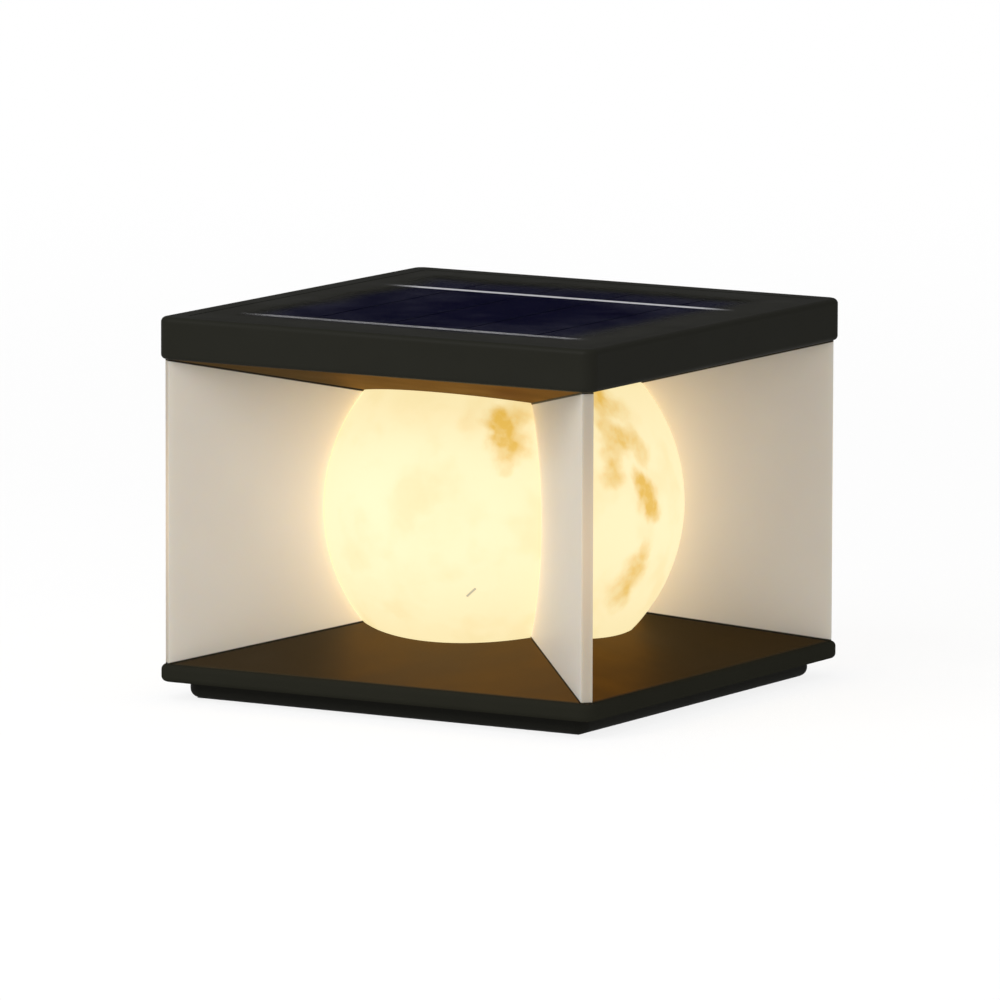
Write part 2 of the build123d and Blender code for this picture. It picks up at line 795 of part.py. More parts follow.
with BuildPart() as button_spring:
    spring_low = shoulder_top + spring_wire
    spring_high = chamber_top - spring_wire
    with BuildLine(Plane(origin=(0, button_y, spring_low))) as coil:
        Helix((spring_high - spring_low) / 4, spring_high - spring_low, spring_radius)
    with BuildSketch(Plane(origin=coil.line @ 0, z_dir=coil.line % 0)):
        Circle(spring_wire)
    sweep(path=coil.line)
save(button_spring, "button_spring")

# ---------------------------------------------------------------- leads
lead_level = board_top + 3.0
socket_face = socket_x - socket_size[0] / 2
plug_top = middle + lamp_board_height / 2 - 1.0
plug_y = -(post_width / 2 + lamp_board_thickness + plug_size[1] / 2)
grommet_flange = 4.2
grommet_flange_height = 1.1
lamp_lead_radius = 1.1

with BuildPart() as lamp_plug:
    with BuildSketch(Plane.XY.offset(plug_top)):
        with Locations((0, plug_y)):
            Rectangle(plug_size[0], plug_size[1])
    extrude(amount=-plug_size[2])
save(lamp_plug, "lamp_plug")

with BuildPart() as lead_grommet:
    for level, radius, height in (
        (upper_web_bottom - grommet_flange_height, grommet_flange, grommet_flange_height),
        (upper_web_bottom, lead_hole_radius - 0.05, web),
        (upper_web_top, grommet_flange, grommet_flange_height),
    ):
        add(disc(radius, level, level + height, bore=lamp_lead_radius + 0.1, at=(0, lead_hole_y)))
save(lead_grommet, "lead_grommet")

panel_row, lamp_row, battery_row, button_row = socket_rows
holder_side = battery_x + holder_width / 2
button_lead_end = button_y - button_body_radius - 0.1
lead_routes = {
    "lamp_lead": (
        lamp_lead_radius,
        [
            (socket_face, lamp_row, lead_level),
            (14, lamp_row, lead_level),
            (0, lead_hole_y, lead_level + 2),
            (0, lead_hole_y, plug_top + 9),
            (0, plug_y, plug_top + 4.5),
            (0, plug_y, plug_top),
        ],
    ),
    "battery_lead": (
        1.0,
        [
            (holder_side, 18, upper_web_top + 4.4),
            (-8, 18, upper_web_top + 4.4),
            (9, battery_row + 4, lead_level),
            (16, battery_row, lead_level),
            (socket_face, battery_row, lead_level),
        ],
    ),
    "panel_lead": (
        0.9,
        [
            (socket_face, panel_row, lead_level),
            (12, panel_row, lead_level),
            (*panel_lead_place, lead_level + 1.3),
            (*panel_lead_place, recess_floor),
        ],
    ),
    "button_lead": (
        0.8,
        [
            (socket_face, button_row, lead_level),
            (13, button_row, lead_level),
            (4, 32, lead_level + 1.4),
            (0, 60, housing_top - 1.5),
            (0, button_lead_end, housing_top - 1.5),
        ],
    ),
}
for name, (radius, points) in lead_routes.items():
    with BuildPart() as wire:
        add(lead(points, radius))
    save(wire, name)
    print(name, "bend radii in mm:", [round(bend, 1) for bend in bend_radii(points)])
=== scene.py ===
import math
import random

import bpy
import numpy as np
from mathutils import Matrix, Vector


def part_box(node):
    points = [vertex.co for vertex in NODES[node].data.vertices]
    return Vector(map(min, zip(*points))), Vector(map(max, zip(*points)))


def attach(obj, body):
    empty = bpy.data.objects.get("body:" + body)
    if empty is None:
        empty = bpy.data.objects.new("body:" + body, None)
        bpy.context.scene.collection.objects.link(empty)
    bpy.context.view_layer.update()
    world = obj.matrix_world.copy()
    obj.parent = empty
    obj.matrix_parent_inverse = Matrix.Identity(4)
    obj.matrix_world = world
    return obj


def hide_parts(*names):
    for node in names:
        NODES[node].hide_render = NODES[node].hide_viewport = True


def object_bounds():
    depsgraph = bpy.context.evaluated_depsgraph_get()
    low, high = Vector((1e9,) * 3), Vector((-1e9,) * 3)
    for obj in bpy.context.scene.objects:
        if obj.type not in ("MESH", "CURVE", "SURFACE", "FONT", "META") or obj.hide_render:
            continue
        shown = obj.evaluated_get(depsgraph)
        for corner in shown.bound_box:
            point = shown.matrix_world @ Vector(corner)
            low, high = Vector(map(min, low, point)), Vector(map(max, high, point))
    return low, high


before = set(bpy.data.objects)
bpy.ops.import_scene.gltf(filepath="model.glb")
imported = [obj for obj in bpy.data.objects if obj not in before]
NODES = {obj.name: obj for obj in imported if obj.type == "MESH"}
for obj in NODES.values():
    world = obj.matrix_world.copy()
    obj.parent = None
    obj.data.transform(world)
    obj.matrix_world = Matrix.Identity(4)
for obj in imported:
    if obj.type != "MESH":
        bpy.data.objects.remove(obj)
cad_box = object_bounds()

# Looks of the solar pillar lantern. Metres, +Z up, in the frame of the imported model.
MM = 0.001
LANTERN = "lantern"


# ---------------------------------------------------------------- building materials
class Paint:
    """One material being built: its nodes, its shader, and short ways to add to them."""

    def __init__(self, name, roughness=0.5, metallic=0.0, specular=0.5):
        self.material = bpy.data.materials.new(name)
        self.material.use_nodes = True
        self.tree = self.material.node_tree
        self.shader = self.tree.nodes["Principled BSDF"]
        self.set("Roughness", roughness)
        self.set("Metallic", metallic)
        self.set("Specular IOR Level", specular)
        self.place = self.add("ShaderNodeTexCoord").outputs["Object"]

    def add(self, kind, **settings):
        """New node of this kind, with its settings."""
        node = self.tree.nodes.new(kind)
        for key, value in settings.items():
            setattr(node, key, value)
        return node

    def link(self, source, target):
        """Feed a socket from another socket, or set it to a number, vector or colour."""
        if isinstance(source, bpy.types.NodeSocket):
            self.tree.links.new(source, target)
        elif hasattr(source, "__len__") and len(source) == 3 and len(target.default_value) == 4:
            target.default_value = (*source, 1.0)
        else:
            target.default_value = source

    def set(self, name, source):
        """Feed or set one of the shader's sockets."""
        self.link(source, self.shader.inputs[name])

    def maths(self, operation, a, b=0.0, clamp=False):
        """Result of a scalar operation."""
        node = self.add("ShaderNodeMath", operation=operation, use_clamp=clamp)
        self.link(a, node.inputs[0])
        self.link(b, node.inputs[1])
        return node.outputs[0]

    def vector(self, operation, a, b=(0.0, 0.0, 0.0)):
        """Result of a vector operation."""
        node = self.add("ShaderNodeVectorMath", operation=operation)
        self.link(a, node.inputs[0])
        self.link(b, node.inputs[1])
        return node.outputs["Value" if operation in ("DISTANCE", "LENGTH") else "Vector"]

    def axis(self, name):
        """One coordinate of the place on the object, in metres."""
        split = self.add("ShaderNodeSeparateXYZ")
        self.link(self.place, split.inputs[0])
        return split.outputs[name]

    def sides(self):
        """How far the place lies to either side in X and in Y, in metres."""
        return [self.maths("ABSOLUTE", self.axis(name)) for name in ("X", "Y")]

    def noise(self, size, detail=3.0, roughness=0.5, stretch=(1.0, 1.0, 1.0), where=None, output="Fac"):
        """Noise from 0 to 1 whose grains are about this size, in metres unless where is given."""
        mapping = self.add("ShaderNodeMapping")
        self.link(where if where is not None else self.place, mapping.inputs["Vector"])
        mapping.inputs["Scale"].default_value = stretch
        node = self.add("ShaderNodeTexNoise")
        self.link(mapping.outputs[0], node.inputs["Vector"])
        node.inputs["Scale"].default_value = 1.0 / size
        node.inputs["Detail"].default_value = detail
        node.inputs["Roughness"].default_value = roughness
        return node.outputs[output]

    def span(self, value, low, high, to_low=0.0, to_high=1.0, smooth=False):
        """Value carried from one range to another, held at the ends."""
        node = self.add("ShaderNodeMapRange")
        node.interpolation_type = "SMOOTHSTEP" if smooth else "LINEAR"
        self.link(value, node.inputs["Value"])
        for name, number in (("From Min", low), ("From Max", high)):
            node.inputs[name].default_value = number
        for name, number in (("To Min", to_low), ("To Max", to_high)):
            node.inputs[name].default_value = number
        return node.outputs["Result"]

    def vary(self, noise, low, high):
        """Noise carried to a range. Nearly all of it lies between 0.3 and 0.7 to begin with."""
        return self.span(noise, 0.3, 0.7, low, high)

    def blend(self, share, first, second):
        """Colour between two others."""
        node = self.add("ShaderNodeMix", data_type="RGBA")
        self.link(share, node.inputs["Factor"])
        self.link(first, node.inputs[6])
        self.link(second, node.inputs[7])
        return node.outputs[2]

    def bump(self, height, distance, strength=1.0):
        """Surface relief from a height between 0 and 1, as deep as distance in metres."""
        node = self.add("ShaderNodeBump")
        node.inputs["Strength"].default_value = strength
        node.inputs["Distance"].default_value = distance
        self.link(height, node.inputs["Height"])
        self.set("Normal", node.outputs[0])


def dress(material, *names):
    """Give CAD nodes this material and no other."""
    for name in names:
        slots = NODES[name].data.materials
        slots.clear()
        slots.append(material)


# ---------------------------------------------------------------- materials of the outside
COAT_DARK = (0.0205, 0.0205, 0.0145)
COAT_LIGHT = (0.0265, 0.0262, 0.0195)
CAP_PAINTED_SHADE = 0.93  # painted shade: the cap and the plinth darker than the floor plate, the plinth for the shadow under the plate
PLINTH_PAINTED_SHADE = 0.6
COAT_ROUGHNESS = (0.43, 0.54)
COAT_SPECULAR = 0.1
COAT_CLOUD = 35 * MM  # size of the clouds in its tone
COAT_GRAIN = 0.7 * MM
COAT_CLOUDINESS = 0.65  # share of the clouds in the tone; the rest is grain


def scaled(colour, share):
    """Colour with each part multiplied by the share."""
    return tuple(share * part for part in colour)


def tinted(colour, tint):
    """Colour seen through another."""
    return tuple(part * filtered for part, filtered in zip(colour, tint))


def lay_coat(paint, shade=1.0):
    """Cloudy tone and fine grain of the olive black coat, on a paint, made darker by a painted shade
    below 1.
    """
    clouds = paint.noise(COAT_CLOUD, detail=2.0)
    grain = paint.noise(COAT_GRAIN, detail=2.0, roughness=0.6)
    cloudy = paint.maths("MULTIPLY", clouds, COAT_CLOUDINESS)
    grainy = paint.maths("MULTIPLY", grain, 1.0 - COAT_CLOUDINESS)
    tone = paint.maths("ADD", cloudy, grainy)
    # A shade below 1 is painted shade: the same coat made darker for the cap and the plinth.
    paint.set("Base Color", paint.blend(tone, scaled(COAT_DARK, shade), scaled(COAT_LIGHT, shade)))
    paint.set("Roughness", paint.vary(clouds, *COAT_ROUGHNESS))
    paint.bump(grain, 0.06 * MM, 0.5)
    return tone


def powder_coat(name, shade):
    """Fine-textured olive black powder coat, darkened by a painted shade below 1."""
    paint = Paint(name, specular=COAT_SPECULAR)
    lay_coat(paint, shade)
    return paint.material


PAN_PAINTED_GLOW_SHARE = 0.7  # metallic share of the coat of the floor and the ceiling on the pyramids, for a painted reflection of the globe's warm light
PAN_PAINTED_REFLECTION_TINT = (1.0, 0.58, 0.2)  # painted reflection: orange tint of what the coat reflects at a low angle, standing for the globe's light
PAN_PAINTED_GLOW_BROWN = (1.2, 0.96, 0.85)  # painted glow: the olive coat turns brown on the pyramids near the globe
PAN_FOOT = 123.4 * MM  # foot of the pyramid: the painted glow stops here
PAN_FOOT_BLEND = 2 * MM


def pan_coat_painted_glow():
    """The same coat with a painted reflection of the globe's warm light: metallic, tinted orange at a
    low angle, and browner on the pyramids.
    """
    paint = Paint("pan_coat_painted_glow", specular=0.0)
    tone = lay_coat(paint)
    reach = paint.maths("MAXIMUM", *paint.sides())
    # Share of the painted glow: whole on the pyramids, none past their foot.
    inside = paint.span(reach, PAN_FOOT - PAN_FOOT_BLEND, PAN_FOOT, 1.0, 0.0)
    # Made stronger, because the metallic share of the painted glow has no tone of its own.
    brown = scaled(PAN_PAINTED_GLOW_BROWN, 1.0 / (1.0 - PAN_PAINTED_GLOW_SHARE))
    plain = paint.blend(tone, COAT_DARK, COAT_LIGHT)
    strong = paint.blend(tone, tinted(COAT_DARK, brown), tinted(COAT_LIGHT, brown))
    paint.set("Base Color", paint.blend(inside, plain, strong))
    paint.set("Metallic", paint.maths("MULTIPLY", inside, PAN_PAINTED_GLOW_SHARE))
    paint.set("Specular Tint", PAN_PAINTED_REFLECTION_TINT)
    return paint.material


# The fins stand between two pyramids, mirrored about the middle of the globe. Half the clear
# height between them is PAN_AXIS on the axis, and grows by PAN_SLOPE with the reach of a fin.
GLOBE_RADIUS = 92.5 * MM
globe_low, globe_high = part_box("moon_globe")
GLOBE_LEVEL = (globe_low.z + globe_high.z) / 2
PAN_AXIS = 45.5 * MM
PAN_SLOPE = 0.181
FIN_REACH = 172.8 * MM
FIN_RIM = 0.4 * MM  # the outer edge begins this far inside the reach
CONTACT_SHADE_WIDTH = 0.5 * MM  # width of the painted contact shade: a dark line along the grooves, where the fin meets the floor and ceiling plates
OPAL_SHADES = ((0.705, 0.672, 0.62), (0.745, 0.71, 0.655))
# Darker, warmer tone of the cut outer edge; with painted edge glow only in the middle of its height, it
# also leaves painted shade at the edge's top and bottom.
OPAL_EDGE = (0.58, 0.525, 0.44)
# Colour of the painted contact shade along the grooves.
CONTACT_SHADE_COLOUR = (0.03, 0.025, 0.015)
# Painted glow: the fins glow warm near the globe and along the middle of their outer edge, though they
# are no lamp.
FIN_LIGHT = (1.0, 0.66, 0.32)
FIN_GLOW = 0.28
FIN_GLOW_FADE = 25 * MM
EDGE_GLOW = 0.2
EDGE_GLOW_FADE = 75 * MM


def fin_glow(paint, rise, edge):
    """Painted glow standing for the light that a sheet takes from the globe beside it and lets out at
    its outer edge.
    """
    apart = paint.vector("DISTANCE", paint.place, (0.0, 0.0, GLOBE_LEVEL))
    apart = paint.maths("SUBTRACT", apart, GLOBE_RADIUS)
    near = paint.maths("EXPONENT", paint.maths("DIVIDE", apart, -FIN_GLOW_FADE))
    near = paint.maths("MULTIPLY", near, FIN_GLOW)
    painted_edge_glow = paint.span(rise, 0.0, EDGE_GLOW_FADE, EDGE_GLOW, 0.0, smooth=True)
    return paint.maths("ADD", near, paint.maths("MULTIPLY", painted_edge_glow, edge))


def opal_acrylic():
    """Satin opal sheet with a faint haze and scuffs, painted contact shade along the grooves that hold
    it, and painted glow from the globe.
    """
    paint = Paint("opal_acrylic", specular=0.2)
    haze = paint.noise(0.03, detail=2.0)
    scuffs = paint.noise(0.0009, detail=3.0, stretch=(1.0, 1.0, 0.12))
    reach = paint.maths("MULTIPLY", paint.maths("ADD", *paint.sides()), math.sqrt(0.5))
    rise = paint.maths("ABSOLUTE", paint.maths("SUBTRACT", paint.axis("Z"), GLOBE_LEVEL))
    edge = paint.maths("GREATER_THAN", reach, FIN_REACH - FIN_RIM)
    clear = paint.maths("ADD", paint.maths("MULTIPLY", reach, PAN_SLOPE), PAN_AXIS)
    room = paint.maths("SUBTRACT", clear, rise)
    # Painted contact shade: the sheet turns dark within about half a millimetre of the floor and
    # ceiling plates, and its painted glow stops there.
    contact_shade = paint.span(room, 0.5 * CONTACT_SHADE_WIDTH, 1.2 * CONTACT_SHADE_WIDTH, 1.0, 0.0)
    face = paint.blend(edge, paint.blend(haze, *OPAL_SHADES), OPAL_EDGE)
    paint.set("Base Color", paint.blend(contact_shade, face, CONTACT_SHADE_COLOUR))
    outside_contact_shade = paint.maths("SUBTRACT", 1.0, contact_shade)
    paint.set("Emission Color", FIN_LIGHT)
    paint.set("Emission Strength", paint.maths("MULTIPLY", fin_glow(paint, rise, edge), outside_contact_shade))
    paint.set("Roughness", paint.vary(scuffs, 0.38, 0.5))
    paint.set("Subsurface Weight", 0.5)
    paint.set("Subsurface Radius", (0.012, 0.009, 0.006))
    paint.set("Subsurface Scale", 1.0)
    paint.bump(scuffs, 0.01 * MM, 0.4)
    return paint.material


def fins():
    """Dress the fins, which the satin coat round them does not mirror."""
    names = ("fin_front_left", "fin_front_right", "fin_back_left", "fin_back_right")
    dress(opal_acrylic(), *names)
    for name in names:
        NODES[name].visible_glossy = False


# ---------------------------------------------------------------- solar panel
FINGER_PITCH = 1.5 * MM
FINGER_WIDTH = 0.16  # share of the pitch
FINGER_TONE = (0.13, 0.13, 0.145)
FINGERS_FAINT = 224 * MM  # distance from the origin where the fingers begin to show
FINGERS_CLEAR = 262 * MM  # and where they show in full
FINGERS_WANDER = 60 * MM  # blotches shift both by up to this
CELL_SHADES = ((0.003, 0.003, 0.012), (0.006, 0.006, 0.024))
CELL_SPECKLE = (0.012, 0.012, 0.036)
RIBBON_SHADES = ((0.70, 0.70, 0.73), (0.86, 0.86, 0.90))
FRIT_OUTSIDE = 110 * MM  # the cover's printed border is solid out here
FRIT_EDGE = 6 * MM  # it gets there over this width
FRIT_INSIDE = 80 * MM  # and it has faded out here
FRIT_WANDER = 16 * MM
FRIT_HAZE = 0.03  # what is left of it over the cells


def cell_silicon():
    """Monocrystalline cells: navy black, with fine silver fingers that show more near the border."""
    paint = Paint("cell_silicon", roughness=0.5, specular=0.0)
    blotches = paint.noise(0.03, detail=3.0)
    speckle = paint.noise(0.0012, detail=2.0)
    cell = paint.blend(blotches, *CELL_SHADES)
    cell = paint.blend(paint.span(speckle, 0.5, 0.8, 0.0, 0.35), cell, CELL_SPECKLE)
    phase = paint.maths("FRACT", paint.maths("DIVIDE", paint.axis("X"), FINGER_PITCH))
    finger = paint.maths("LESS_THAN", phase, FINGER_WIDTH)
    wander = paint.maths("MULTIPLY", blotches, FINGERS_WANDER)
    reach = paint.maths("ADD", paint.vector("LENGTH", paint.place), wander)
    shown = paint.maths("MULTIPLY", finger, paint.span(reach, FINGERS_FAINT, FINGERS_CLEAR))
    paint.set("Base Color", paint.blend(shown, cell, FINGER_TONE))
    paint.bump(finger, 0.02 * MM, 0.5)
    return paint.material


def ribbon_silver():
    """Tinned copper ribbon with a dull, slightly wavy surface."""
    paint = Paint("ribbon_silver", roughness=0.5, metallic=0.1, specular=0.2)
    waves = paint.noise(0.002, detail=2.0, stretch=(0.15, 1.0, 1.0))
    paint.set("Base Color", paint.blend(waves, *RIBBON_SHADES))
    paint.bump(waves, 0.05 * MM, 0.5)
    return paint.material


def panel_cover_clear():
    """Clear cover with a printed border like the coat, which fades out over the cells."""
    paint = Paint("panel_cover", specular=COAT_SPECULAR)
    lay_coat(paint)
    reach = paint.maths("MAXIMUM", *paint.sides())
    wander = paint.maths("SUBTRACT", paint.noise(0.04, detail=2.0), 0.5)
    wander = paint.maths("MULTIPLY", wander, FRIT_WANDER)
    wandering = paint.maths("ADD", reach, wander)
    full = FRIT_OUTSIDE - FRIT_EDGE
    frit = paint.span(wandering, FRIT_INSIDE, full, FRIT_HAZE, 1.0, smooth=True)
    solid = paint.span(reach, full, FRIT_OUTSIDE)
    paint.set("Alpha", paint.maths("MAXIMUM", frit, solid))
    return paint.material


def panel_cover():
    """Dress the cover, and let the light through to the cells undimmed by its border."""
    dress(panel_cover_clear(), "panel_cover")
    NODES["panel_cover"].visible_shadow = False
    NODES["panel_cover"].visible_diffuse = False


# ---------------------------------------------------------------- moon globe
GLOBE_WALL = 3 * MM
GLOBE_CUT = (globe_high.z - globe_low.z) / 2  # from the middle to either flat end
RELIEF = 0.5 * MM  # sets the craters' depths, which stop at twice this
RINGS = 150
INNER_RINGS = 15
SPOKES = 360
CRATERS = 150
CRATER_BELT = 0.7  # sine of the highest latitude of a crater
CRATER_SMALLEST = 1.2  # radius in degrees
CRATER_SPREAD = 7.0  # the largest is bigger by this, in degrees
CRATER_RIM = 0.25  # height of its rim against its depth, and width against its radius
RELIEF_FADE = 4  # degrees over which the relief dies out at the flat ends

MOON_LIGHT = (0.92, 0.78, 0.42)
SEA_LIGHT = (0.74, 0.44, 0.06)
SCAR_LIGHT = (0.30, 0.28, 0.18)
MOON_BASE = (0.28, 0.26, 0.26)
SEA_BASE = (0.20, 0.18, 0.12)
SCAR_BASE = (0.25, 0.24, 0.22)

# Darker seas of the moon: latitude, longitude, radius and strength. Longitude 0 is the front
# and grows to the right. The first rows face the corner between the front and right sides.
SEAS = [
    (34, 29, 4, 0.72), (29, 30, 4, 0.72), (25, 31, 4, 0.55), (20, 32, 3, 0.4),
    (34, 34, 5, 0.5), (28, 35, 5, 0.5), (24, 37, 4, 0.35), (37, 41, 4, 0.25),
    (43, 72, 5, 0.5), (38, 76, 5, 0.55), (35, 83, 4, 0.35), (33, 70, 4, 0.35),
    (27, 73, 5, 0.6), (25, 80, 5, 0.62), (20, 85, 4, 0.5), (20, 70, 4, 0.5), (14, 69, 4, 0.6),
    (13, 80, 3, 0.6), (10, 82, 4, 0.6), (6, 84, 5, 0.6), (2, 87, 4, 0.65),
    (-11, 84, 3, 0.4), (-15, 82, 5, 0.4), (-19, 79, 6, 0.4), (-23, 76, 6, 0.35), (-27, 78, 4, 0.3),
    (39, -5, 10, 0.10), (33, 19, 4, 0.12), (-6, -22, 10, 0.04), (-18, 0, 7, 0.06), (6, 8, 14, 0.10),
]
SEA_WARP = 0.13  # how far noise breaks up the outline of a sea, on a globe of radius 1
SEA_WARP_SIZE = 1 / 9
SCAR_ENDS = ((-23.0, 19.5), (-20.5, 22.2))  # latitude and longitude of one short slanted scratch
SCAR_DOTS = 7
SCAR_RADIUS = 0.55  # degrees
SCAR_STRENGTH = 0.85
HIDDEN_WEST = 130  # the hidden seas lie between these longitudes
HIDDEN_EAST = 292
HIDDEN_NORTH = 38  # and no further from the equator than this
HIDDEN_GROUPS = 11
HIDDEN_GROUP = 4  # spots in one of them


def direction(latitude, longitude):
    """Unit vector for a latitude and a longitude in degrees, with longitude 0 at the front."""
    across = math.cos(math.radians(latitude))
    turn = math.radians(longitude)
    rise = math.sin(math.radians(latitude))
    return Vector((across * math.sin(turn), -across * math.cos(turn), rise))


def held(number, low, high):
    """Number moved into a range."""
    return max(low, min(high, number))


def hidden_seas(seed):
    """More seas for the sides that face left and back, in drifting groups."""
    rng = random.Random(seed)
    seas = []
    for _ in range(HIDDEN_GROUPS):
        latitude = rng.uniform(-30, 35)
        longitude = rng.uniform(135, 290)
        for _ in range(HIDDEN_GROUP):
            latitude = held(latitude + rng.uniform(-7, 7), -HIDDEN_NORTH, HIDDEN_NORTH)
            longitude = held(longitude + rng.uniform(-8, 8), HIDDEN_WEST, HIDDEN_EAST)
            seas.append((latitude, longitude, rng.uniform(3, 8), rng.uniform(0.4, 0.9)))
    return seas


def sea_cover(paint, place):
    """Share of sea colour at a place on the globe of radius 1, broken up by noise."""
    warp = paint.noise(SEA_WARP_SIZE, detail=4.0, where=place, output="Color")
    warp = paint.vector("SUBTRACT", warp, (0.5, 0.5, 0.5))
    warp = paint.vector("MULTIPLY", warp, (SEA_WARP, SEA_WARP, SEA_WARP))
    warped = paint.vector("ADD", place, warp)
    cover = 0.0
    for latitude, longitude, radius, strength in SEAS + hidden_seas(seed=4):
        reach = math.radians(radius)
        distance = paint.vector("DISTANCE", warped, tuple(direction(latitude, longitude)))
        spot = paint.span(distance, 0.35 * reach, 1.5 * reach, strength, 0.0, smooth=True)
        cover = paint.maths("ADD", cover, spot)
    mottle = paint.vary(paint.noise(0.05, detail=4.0, where=place), 0.7, 1.1)
    cover = paint.maths("MULTIPLY", paint.maths("MINIMUM", cover, 1.0), mottle)
    veil = paint.noise(0.3, detail=3.0, where=place)
    veil = paint.span(veil, 0.48, 0.7, 0.0, 0.14, smooth=True)
    return paint.maths("ADD", cover, veil, clamp=True)


def scar_cover(paint, place):
    """Share of the scratch's colour at a place on the globe of radius 1, from a row of dots."""
    cover = 0.0
    reach = math.radians(SCAR_RADIUS)
    for dot in range(SCAR_DOTS):
        share = dot / (SCAR_DOTS - 1)
        latitude, longitude = (a + share * (b - a) for a, b in zip(*SCAR_ENDS))
        distance = paint.vector("DISTANCE", place, tuple(direction(latitude, longitude)))
        spot = paint.span(distance, 0.4 * reach, reach, SCAR_STRENGTH, 0.0)
        cover = paint.maths("MAXIMUM", cover, spot)
    return cover


def moon_plastic(centre):
    """Glowing opal plastic: cream light, with amber seas and one grey scratch."""
    paint = Paint("moon_plastic", roughness=0.55, specular=0.08)
    place = paint.vector("NORMALIZE", paint.vector("SUBTRACT", paint.place, tuple(centre)))
    sea = sea_cover(paint, place)
    scar = scar_cover(paint, place)
    paint.set("Base Color", paint.blend(scar, paint.blend(sea, MOON_BASE, SEA_BASE), SCAR_BASE))
    paint.set("Emission Color", paint.blend(scar, paint.blend(sea, MOON_LIGHT, SEA_LIGHT), SCAR_LIGHT))
    paint.set("Emission Strength", 1.0)
    paint.bump(paint.noise(0.0016, detail=3.0), 0.03 * MM, 0.5)
    return paint.material


def crater_depths(normals, seed):
    """How far each direction of the globe lies under its sphere, as bowls with raised rims."""
    rng = random.Random(seed)
    depth = np.full(len(normals), 0.3 * RELIEF)
    for _ in range(CRATERS):
        latitude = math.degrees(math.asin(rng.uniform(-CRATER_BELT, CRATER_BELT)))
        centre = np.array(direction(latitude, rng.uniform(0, 360)))
        radius = math.radians(CRATER_SMALLEST + CRATER_SPREAD * rng.random() ** 3)
        bowl = RELIEF * min(1.0, 0.25 + radius / math.radians(CRATER_SPREAD)) * 0.6
        distance = np.arccos(np.clip(normals @ centre, -1.0, 1.0)) / radius
        depth += np.where(distance < 1.0, bowl * (1.0 - distance**2), 0.0)
        depth -= CRATER_RIM * bowl * np.exp(-(((distance - 1.0) / CRATER_RIM) ** 2))
    return np.clip(depth, 0.0, 2.0 * RELIEF)


def ring_directions(tilts):
    """Unit vectors round the axis at each tilt, ring after ring, and the tilt of each vector."""
    turns = np.linspace(0, 2 * math.pi, SPOKES, endpoint=False)
    tilt, turn = np.meshgrid(tilts, turns, indexing="ij")
    across = np.cos(tilt)
    normals = np.stack([across * np.cos(turn), across * np.sin(turn), np.sin(tilt)], axis=-1)
    return normals.reshape(-1, 3), tilt.ravel()


def ring_faces(rings):
    """Faces between neighbouring rings, and from the last ring back to the first."""
    faces = []
    for ring in range(rings):
        here = ring * SPOKES
        above = (ring + 1) % rings * SPOKES
        for spoke in range(SPOKES):
            beside = (spoke + 1) % SPOKES
            faces.append((here + spoke, here + beside, above + beside, above + spoke))
    return faces


def moon_globe():
    """Hollow globe, cut flat above and below, with craters on its outside."""
    centre = Vector((0, 0, GLOBE_LEVEL))
    steepest = math.asin(GLOBE_CUT / GLOBE_RADIUS)
    normals, tilts = ring_directions(np.linspace(-steepest, steepest, RINGS))
    fade = np.clip((steepest - np.abs(tilts)) / math.radians(RELIEF_FADE), 0, 1)
    radii = GLOBE_RADIUS - crater_depths(normals, seed=11) * fade
    outer = normals * radii[:, None]
    inner_radius = GLOBE_RADIUS - GLOBE_WALL
    steepest = math.asin(GLOBE_CUT / inner_radius)
    normals, _ = ring_directions(np.linspace(steepest, -steepest, INNER_RINGS))
    inner = normals * inner_radius
    points = np.concatenate([outer, inner]) + np.array(centre)
    faces = ring_faces(RINGS + INNER_RINGS)
    mesh = bpy.data.meshes.new("moon_globe_relief")
    mesh.from_pydata(points.tolist(), [], faces)
    mesh.polygons.foreach_set("use_smooth", [True] * len(faces))
    mesh.update()
    globe = bpy.data.objects.new("moon_globe_relief", mesh)
    bpy.context.scene.collection.objects.link(globe)
    mesh.materials.append(moon_plastic(centre))
    globe.visible_shadow = False
    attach(globe, LANTERN)
    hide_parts("moon_globe")


# ---------------------------------------------------------------- materials of the inside
def rubber(name, tone):
    """Matt rubber with a faint bloom."""
    paint = Paint(name, roughness=0.75, specular=0.3)
    bloom = paint.noise(0.004, detail=3.0)
    paint.set("Base Color", paint.blend(bloom, scaled(tone, 0.7), scaled(tone, 1.3)))
    paint.bump(paint.noise(0.0006), 0.03 * MM, 0.5)
    return paint.material


def metal(name, tone, roughness, stretch):
    """Bare metal with drawn or turned lines."""
    paint = Paint(name, metallic=1.0)
    lines = paint.noise(0.0008, detail=4.0, stretch=stretch)
    paint.set("Base Color", paint.blend(lines, scaled(tone, 0.85), tone))
    paint.set("Roughness", paint.vary(lines, roughness - 0.06, roughness + 0.08))
    paint.bump(lines, 0.01 * MM, 0.5)
    return paint.material


def moulded(name, tone, roughness=0.5):
    """Moulded plastic with a fine spark-eroded grain."""
    paint = Paint(name, specular=0.4)
    grain = paint.noise(0.0005, detail=2.0)
    clouds = paint.noise(0.012, detail=2.0)
    paint.set("Base Color", paint.blend(clouds, scaled(tone, 0.85), scaled(tone, 1.15)))
    paint.set("Roughness", paint.vary(grain, roughness - 0.05, roughness + 0.08))
    paint.bump(grain, 0.02 * MM, 0.5)
    return paint.material


TRACK_PITCH = 2.4 * MM
TRACK_WIDTH = 0.4  # share of the pitch


